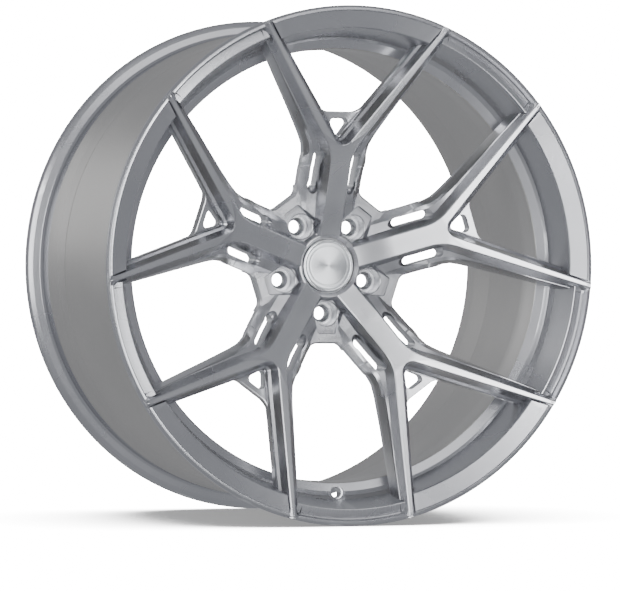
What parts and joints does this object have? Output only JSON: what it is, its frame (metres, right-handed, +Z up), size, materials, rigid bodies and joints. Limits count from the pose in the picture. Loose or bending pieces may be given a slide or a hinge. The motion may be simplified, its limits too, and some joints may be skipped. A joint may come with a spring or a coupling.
{
  "type": "car wheel rim",
  "caption": "Deep-barrel forged racing wheel with forked spokes, slotted spoke flanks, recessed lug seats and a pull-off centre cap.",
  "frame": {"origin": "centre of the lug bolt circle on the hub mounting face, on the wheel axis", "axes": "+Y along the wheel axis towards the car, +Z up with one spoke pointing up, +X to the right seen from outside"},
  "size_m": [0.5986, 0.3275, 0.5986],
  "materials": {
    "silver_lacquer": "fine-flake silver lacquer over forged aluminium",
    "satin_barrel": "satin warm-grey coated aluminium",
    "seat_steel": "turned steel",
    "ring_plastic": "moulded black",
    "cap_plastic": "moulded dark grey",
    "polished_trim": "polished",
    "brushed_disc": "circular brushed",
    "spring_steel": "drawn wire"
  },
  "bodies": {
    "wheel": {"forged_face": "silver_lacquer", "rim_barrel": "satin_barrel", "barrel_weld": "satin_barrel", "lug_inserts": "seat_steel"},
    "cap": {"cap_shell": "cap_plastic", "cap_bezel": "polished_trim", "cap_disc": "brushed_disc", "cap_spring_ring": "spring_steel"},
    "ring": {"hub_ring": "ring_plastic"}
  },
  "joints": [
    {"name": "cap_pull", "type": "slide", "parent": "wheel", "child": "cap", "axis": [0, -1, 0], "range_m": [0, 0.045]},
    {"name": "ring_pull", "type": "slide", "parent": "wheel", "child": "ring", "axis": [0, 1, 0], "range_m": [0, 0.035]}
  ]
}
